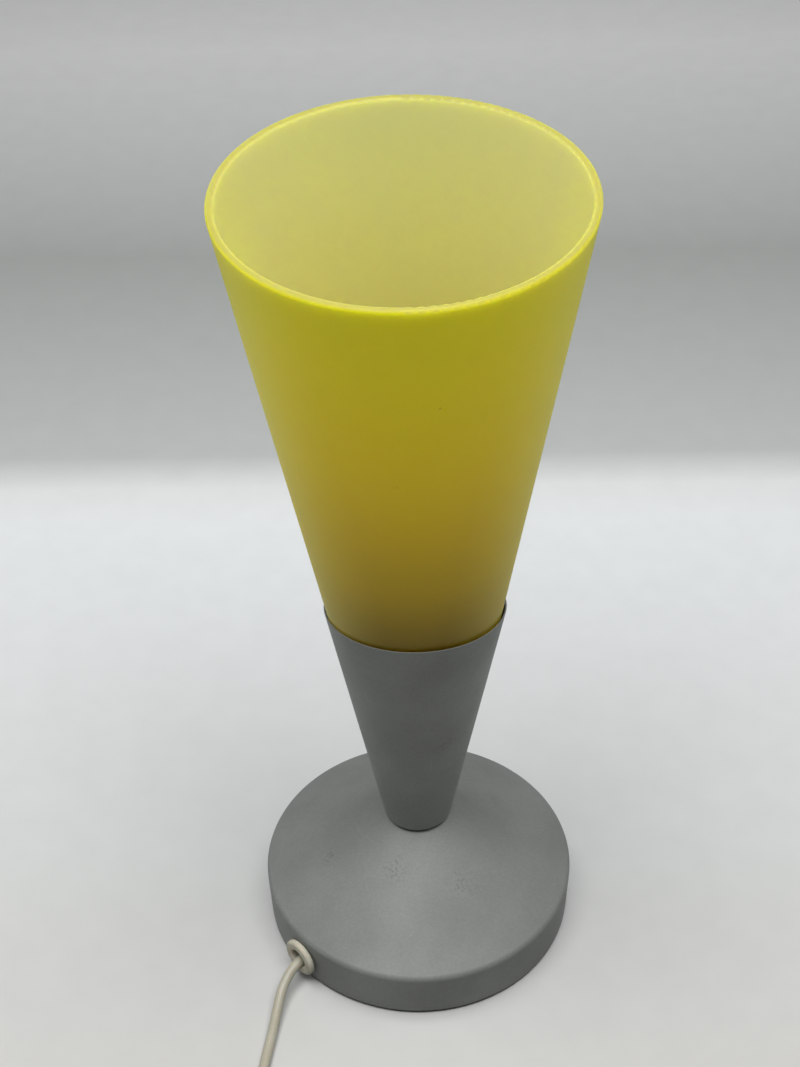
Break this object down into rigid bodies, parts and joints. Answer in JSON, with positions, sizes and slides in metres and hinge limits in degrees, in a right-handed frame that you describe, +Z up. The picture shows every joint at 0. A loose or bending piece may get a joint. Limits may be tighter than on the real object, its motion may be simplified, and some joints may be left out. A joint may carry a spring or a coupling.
{
  "type": "table lamp",
  "caption": "Small table lamp: frosted cone of glass in a tapered metal stem on a round weighted base, with a mains cord, in-line rocker switch and two-pin plug.",
  "frame": {"origin": "on the floor, under the centre of the round base", "axes": "+Z up along the stem, -Y is the front; the cord leaves the base at the front left"},
  "size_m": [0.1825, 0.276, 0.3921],
  "materials": {
    "silver_paint": "satin aluminium-grey paint",
    "cast_iron": "rough cast",
    "zinc_steel": "zinc plated",
    "felt": "felt",
    "ivory_rubber": "soft moulded",
    "white_nylon": "moulded",
    "ivory_pvc": "soft gloss",
    "brown_core": "soft gloss",
    "blue_core": "soft gloss",
    "black_rubber": "moulded",
    "yellow_glass": "acid frosted",
    "bakelite": "moulded",
    "ceramic": "fired",
    "brass": "bright",
    "bulb_glass": "clear",
    "tungsten": "drawn wire"
  },
  "bodies": {
    "lamp": {"base_shell": "silver_paint", "stem_cone": "silver_paint", "counterweight": "cast_iron", "bottom_plate": "zinc_steel", "plate_screws": "zinc_steel", "clamp_screws": "zinc_steel", "threaded_rod": "zinc_steel", "lower_washer": "zinc_steel", "lower_nut": "zinc_steel", "stem_washer": "zinc_steel", "stem_nut": "zinc_steel", "glass_seat_ring": "zinc_steel", "switch_screws": "zinc_steel", "rocker_pin": "zinc_steel", "felt_pad": "felt", "cord_grommet": "ivory_rubber", "plug_relief": "ivory_rubber", "cord_clamp": "white_nylon", "cord_tie": "white_nylon", "inner_lead": "ivory_pvc", "cord_lamp_side": "ivory_pvc", "cord_switch_side": "ivory_pvc", "cord_coil": "ivory_pvc", "cord_plug_side": "ivory_pvc", "switch_lower_shell": "ivory_pvc", "switch_upper_shell": "ivory_pvc", "plug_body": "ivory_pvc", "live_core": "brown_core", "neutral_core": "blue_core", "foot_spacer": "black_rubber", "seat_gasket": "black_rubber", "pin_sleeves": "black_rubber", "holder_cap": "bakelite", "holder_skirt": "bakelite", "holder_insert": "ceramic", "terminal_screws": "brass", "screw_shell": "brass", "centre_contact": "brass", "switch_contacts": "brass", "plug_pins": "brass"},
    "shade": {"glass_shade": "yellow_glass"},
    "bulb": {"bulb_envelope": "bulb_glass", "bulb_cap": "brass", "bulb_insulator": "black_rubber", "bulb_contact": "brass", "bulb_stem": "bulb_glass", "bulb_filament": "tungsten"},
    "rocker": {"switch_rocker": "ivory_pvc"}
  },
  "joints": [
    {"name": "shade_lift", "type": "slide", "parent": "lamp", "child": "shade", "axis": [0, 0, 1], "range_m": [0, 0.07]},
    {"name": "bulb_lift", "type": "slide", "parent": "lamp", "child": "bulb", "axis": [0, 0, 1], "range_m": [0, 0.255]},
    {"name": "switch_rock", "type": "hinge", "parent": "lamp", "child": "rocker", "pos_m": [-0.001, -0.1335, 0.0136], "axis": [0, 1, 0], "range_deg": [0, 20]}
  ]
}
